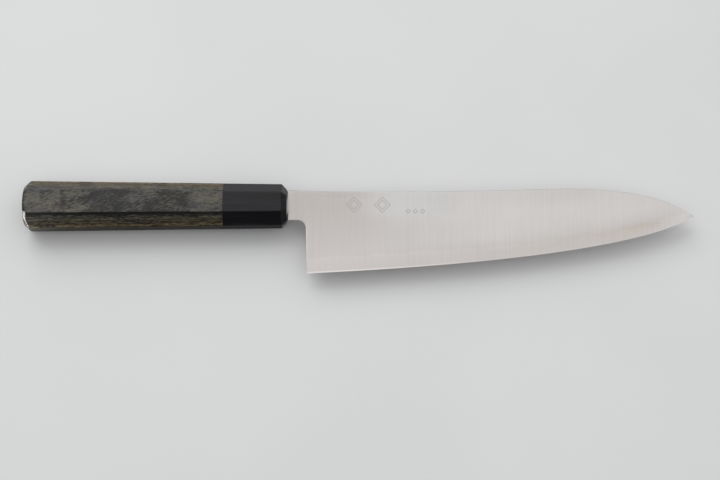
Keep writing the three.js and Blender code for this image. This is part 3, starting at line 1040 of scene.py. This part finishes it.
def face_light(look, place, level, fibres):
    """How light the face grain is: broad smoky bands along the handle, with slanting flecks."""
    warp = look.spread(look.noise(BAND_WARP_SIZE, 24), -8, 8)
    along = look.plus(look.x, look.plus(warp, look.minus(level, FACE_TOP)))
    smoke = look.add("ShaderNodeValToRGB", {0: look.maths("DIVIDE", along, -HANDLE_LENGTH)})
    set_bands(smoke.color_ramp)
    turn = {0: place, "Angle": FLECK_SLANT}
    turned = look.add("ShaderNodeVectorRotate", turn, rotation_type="Z_AXIS").outputs[0]
    flecks = look.ramp(look.noise(FLECK_SIZE, 25, 3.0, turned), 0.36, 0.64, -FLECK_LIGHT, FLECK_LIGHT)
    wisps = look.ramp(look.noise(WISP_SIZE, 28, 4.0, turned), 0.36, 0.64, -WISP_LIGHT, WISP_LIGHT)
    streaks = look.ramp(fibres, 0.35, 0.65, -STREAK_LIGHT, STREAK_LIGHT)
    light = look.plus(look.plus(smoke.outputs[0], wisps), look.plus(flecks, streaks))
    return look.ramp(light, -0.1, 1.1)


def face_tone(look):
    """The face grain's light colour, in warm and cool patches."""
    return look.mix(look.ramp(look.noise(FACE_TONE_SIZE, 26), 0.42, 0.58), FACE_WARM, FACE_COOL)


def turned_end(look):
    """One on the turned cone round the butt, which is polished."""
    return look.bump_at(look.facing("X"), -0.62, 0.35)


def painted_shade_under_arris(look, level, fibres):
    """One on the painted shade under the lower arris of the top face: a dark ragged strip on the faces
    turned towards -y only.
    """
    butt_half, front_half = BUTT_SECTION["thickness"] / 2, FRONT_SECTION["thickness"] / 2
    arris = look.ramp_straight(look.x, -HANDLE_LENGTH, 0, butt_half, front_half)
    ragged = look.ramp(fibres, 0.35, 0.65, -0.55, 0.55)
    depth = look.plus(look.minus(arris, level), ragged)
    return look.times(look.ramp(depth, *ARRIS_SHADE_DEPTHS), look.ramp(look.facing("Y"), -0.3, -0.6))


def dulled_side(look, extra):
    """Extra roughness on the two narrow sides, which the hand doesn't polish."""
    return look.ramp(look.without_sign(look.facing("Y")), 0.85, 0.95, 0.0, extra)


def face_share(look, dye):
    """One where the handle's surface lies along the veneers, and nought where it cuts across them; on the
    black veneers also one on the faces turned towards +y, as painted light.
    """
    lying = look.ramp(look.without_sign(look.facing("Z")), 0.78, 0.95)
    if dye != "black":
        return lying
    # Painted light: the black veneers' bevels turned towards +y take the lighter face colours
    return look.maths("MAXIMUM", lying, look.ramp(look.facing("Y"), 0.3, 0.6))


def set_bands(color_ramp):
    """Light and dark bands along the handle's face, from the ferrule to the butt."""
    stops = sorted((x / -HANDLE_LENGTH, light) for x, light in FACE_BANDS)
    elements = color_ramp.elements
    while len(elements) < len(stops):
        elements.new(0.5)
    for element, (position, light) in zip(elements, stops):
        element.position = min(position, 1.0)
        element.color = (light, light, light, 1.0)


DOWEL_DARK = (0.36, 0.24, 0.13)
DOWEL_PALE = (0.62, 0.48, 0.31)
RESIN_DARK = (0.28, 0.16, 0.05)
RESIN_PALE = (0.40, 0.25, 0.10)


def bare_wood():
    """The dowel inside the handle."""
    look = Look("bare_dowel_wood")
    grain = look.noise((18, 0.7, 0.7), 31, 4.0)
    rings = look.noise((60, 2.2, 2.2), 32)
    colour = look.mix(look.ramp(look.plus(grain, rings), 0.8, 1.2), DOWEL_DARK, DOWEL_PALE)
    return look.finish(colour, look.spread(grain, 0.55, 0.7), grain, 0.03)


def amber_resin():
    """The resin that beds the tang."""
    look = Look("amber_bedding_resin")
    clouds = look.noise((6, 3, 3), 41)
    colour = look.mix(look.spread(clouds), RESIN_DARK, RESIN_PALE)
    return look.finish(colour, look.spread(clouds, 0.18, 0.3), clouds, 0.05)


def paint_node(node, material):
    """A CAD node that stays as it is gets a better material."""
    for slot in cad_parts[node].material_slots:
        slot.material = material


# ---------------------------------------------------------------------------------------------------
# Studio, in metres (the sensor, as cameras have it, in millimetres)
# ---------------------------------------------------------------------------------------------------
FLOOR_SIZE = 14.0
FLOOR_COLOUR = (0.81, 0.815, 0.82)
FLOOR_CLOUD = tuple(0.97 * c for c in FLOOR_COLOUR)
CAMERA_TILT = math.radians(14)
CAMERA_DISTANCE = 0.9
CAMERA_AIM = Vector((0.0005, -0.0068, 0.0))
FRAMED_WIDTH = 0.391
SENSOR_WIDTH = 36.0
SKY_HIGH = 0.88
SKY_LOW = 0.42
SKY_FRONT = 0.12
SKY_AXIS = (0.08, 0.30, 0.95)
KEY_PLACE = (-0.55, 0.95, 1.25)
KEY_AIM = (0.55, -0.95, -1.25)
KEY_SIZE = (1.2, 1.2)
CARD_PLACE = (-0.26, -0.024, 0.002)
CARD_AIM = (0, 0, 1)
CARD_SIZE = (0.15, 0.034)

# Each light's name, place, aim, size, luminance and the group that it shines on
LIGHTS = (
    ("key", KEY_PLACE, KEY_AIM, KEY_SIZE, 1.9, "handle_and_floor"),
    ("blade_key", KEY_PLACE, KEY_AIM, KEY_SIZE, 0.9, "blade"),
    ("low_card", CARD_PLACE, CARD_AIM, CARD_SIZE, 10.0, "handle"),
)


def make_floor():
    look = Look("pale_floor")
    grain = look.noise((1.2, 1.2, 1.2), 51, 4.0)
    colour = look.mix(look.spread(look.noise((160, 160, 160), 52)), FLOOR_COLOUR, FLOOR_CLOUD)
    material = look.finish(colour, look.spread(grain, 0.9, 1.0), grain, 0.01, Specular_IOR_Level=0.0)
    bm = bmesh.new()
    bmesh.ops.create_grid(bm, x_segments=4, y_segments=4, size=FLOOR_SIZE / 2)
    mesh = bpy.data.meshes.new("floor")
    bm.to_mesh(mesh)
    bm.free()
    mesh.materials.append(material)
    floor = bpy.data.objects.new("floor", mesh)
    floor.location.z = cad_bounds[0].z
    groups["handle_and_floor"].objects.link(floor)


def make_camera():
    """A camera that looks down at the knife, from a little towards the edge's side."""
    target = (cad_bounds[0] + cad_bounds[1]) / 2 + CAMERA_AIM
    back = Vector((0, -math.sin(CAMERA_TILT), math.cos(CAMERA_TILT)))
    data = bpy.data.cameras.new("camera")
    data.sensor_width = SENSOR_WIDTH
    data.lens = SENSOR_WIDTH * CAMERA_DISTANCE / FRAMED_WIDTH
    camera = bpy.data.objects.new("camera", data)
    camera.location = target + back * CAMERA_DISTANCE
    camera.rotation_mode = "QUATERNION"
    camera.rotation_quaternion = (-back).to_track_quat("-Z", "Y")
    bpy.context.scene.collection.objects.link(camera)
    bpy.context.scene.camera = camera


def add_area_light(name, position, aim, size, luminance, group):
    """A flat light that faces along its aim and shines on one group. Luminance and size set its power."""
    data = bpy.data.lights.new(name, "AREA")
    data.shape = "RECTANGLE"
    data.size, data.size_y = size
    data.energy = math.pi * size[0] * size[1] * luminance
    light = bpy.data.objects.new(name, data)
    light.location = position
    light.rotation_mode = "QUATERNION"
    light.rotation_quaternion = Vector(aim).to_track_quat("-Z", "Y")
    light.visible_camera = False
    light.light_linking.receiver_collection = groups[group]
    bpy.context.scene.collection.objects.link(light)


def make_sky():
    """A soft white dome, brightest overhead and dim low in front."""
    world = bpy.data.worlds.new("studio")
    bpy.context.scene.world = world
    world.use_nodes = True
    tree = world.node_tree
    background = tree.nodes["Background"]
    direction = tree.nodes.new("ShaderNodeTexCoord").outputs["Generated"]

    def sky_step(axis, low, high, start, end):
        dot = tree.nodes.new("ShaderNodeVectorMath")
        dot.operation = "DOT_PRODUCT"
        dot.inputs[1].default_value = axis
        tree.links.new(direction, dot.inputs[0])
        step = tree.nodes.new("ShaderNodeMapRange")
        step.interpolation_type = "SMOOTHSTEP"
        tree.links.new(dot.outputs["Value"], step.inputs[0])
        for socket, value in zip(range(1, 5), (low, high, start, end)):
            step.inputs[socket].default_value = value
        return step.outputs[0]

    overhead = sky_step(SKY_AXIS, 0.35, 0.9, SKY_LOW, SKY_HIGH)
    front = sky_step((0, -1, 0), 0.5, 0.9, 1.0, SKY_FRONT)
    product = tree.nodes.new("ShaderNodeMath")
    product.operation = "MULTIPLY"
    tree.links.new(overhead, product.inputs[0])
    tree.links.new(front, product.inputs[1])
    tree.links.new(product.outputs[0], background.inputs["Strength"])
    background.inputs["Color"].default_value = (1.0, 1.0, 1.0, 1.0)


def make_knife():
    make_blade({"cladding": cladding_material(), "core": core_material()})
    make_ferrule(ferrule_material())
    make_veneers({dye: dyed_wood(dye) for dye in WOOD_DYES})
    paint_node("handle_dowel", bare_wood())
    paint_node("tang_bedding", amber_resin())


make_camera()
make_floor()
make_sky()
for light in LIGHTS:
    add_area_light(*light)
make_knife()
bpy.context.scene.view_settings.view_transform = "Standard"
